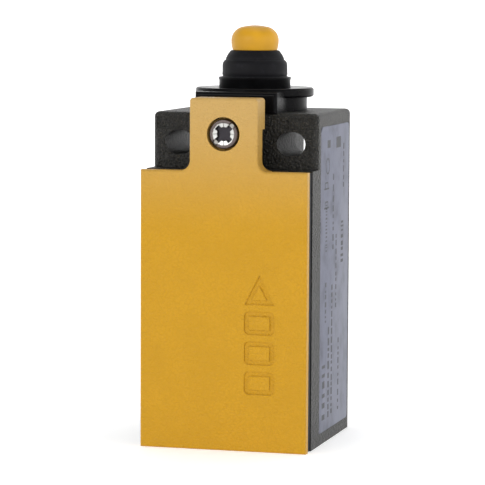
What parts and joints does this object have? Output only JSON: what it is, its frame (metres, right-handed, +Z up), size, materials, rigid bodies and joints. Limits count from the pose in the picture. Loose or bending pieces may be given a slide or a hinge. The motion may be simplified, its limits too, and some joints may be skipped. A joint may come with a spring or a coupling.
{
  "type": "limit switch",
  "caption": "Small upright limit switch: cast case with slotted ears, screwed front cover, bayonet head, rubber boot and a sprung round plunger that opens its contacts.",
  "frame": {"origin": "middle of the overall box at the case's underside", "axes": "+Z up along the plunger, -Y to the cover, +Y to the mounting face, +X to the right seen from the front"},
  "size_m": [0.031, 0.0336, 0.0761],
  "materials": {
    "case_black": "satin textured",
    "cover_yellow": "satin textured",
    "rubber_black": "matt",
    "screw_steel": "satin",
    "head_black": "satin",
    "spring_steel": "satin",
    "brass": "satin",
    "ring_black": "satin",
    "boot_rubber": "satin",
    "plunger_yellow": "gloss",
    "rod_steel": "polished",
    "block_plastic": "matt",
    "carrier_plastic": "satin",
    "contact_brass": "satin",
    "tip_silver": "satin",
    "clamp_steel": "satin",
    "label_silver": "satin"
  },
  "bodies": {
    "case": {"housing": "case_black", "front_cover": "cover_yellow", "cover_gasket": "rubber_black", "cover_screw": "screw_steel", "cover_screw_seal": "rubber_black", "bayonet_head": "head_black", "head_seal": "rubber_black", "head_circlip": "spring_steel", "guide_bush": "brass", "rod_seal": "rubber_black", "boot_collar": "ring_black", "boot": "boot_rubber", "contact_block": "block_plastic", "block_screws": "screw_steel", "fixed_tips": "tip_silver", "fixed_contact_upper_left": "contact_brass", "fixed_contact_upper_right": "contact_brass", "fixed_contact_lower_left": "contact_brass", "fixed_contact_lower_right": "contact_brass", "terminal_clamps": "clamp_steel", "terminal_screws": "screw_steel", "earth_clamp": "clamp_steel", "earth_screw": "screw_steel", "return_spring": "spring_steel", "label": "label_silver"},
    "plunger": {"plunger_cap": "plunger_yellow", "plunger_rod": "rod_steel", "contact_carrier": "carrier_plastic"},
    "bridges": {"bridge_upper": "contact_brass", "bridge_lower": "contact_brass", "moving_tips": "tip_silver", "contact_spring_upper": "spring_steel", "contact_spring_lower": "spring_steel"}
  },
  "joints": [
    {"name": "plunger_slide", "type": "slide", "parent": "case", "child": "plunger", "axis": [0, 0, -1], "range_m": [0, 0.0061], "stiffness_N_per_m": 1000, "springref_m": -0.001, "deforming": ["boot", "return_spring"]},
    {"name": "bridge_slide", "type": "slide", "parent": "case", "child": "bridges", "axis": [0, 0, -1], "range_m": [0, 0.0031], "deforming": ["contact_spring_upper", "contact_spring_lower"]}
  ],
  "couplings": [
    {"joint": "bridge_slide", "follows": "plunger_slide", "ratio": 0.508}
  ]
}
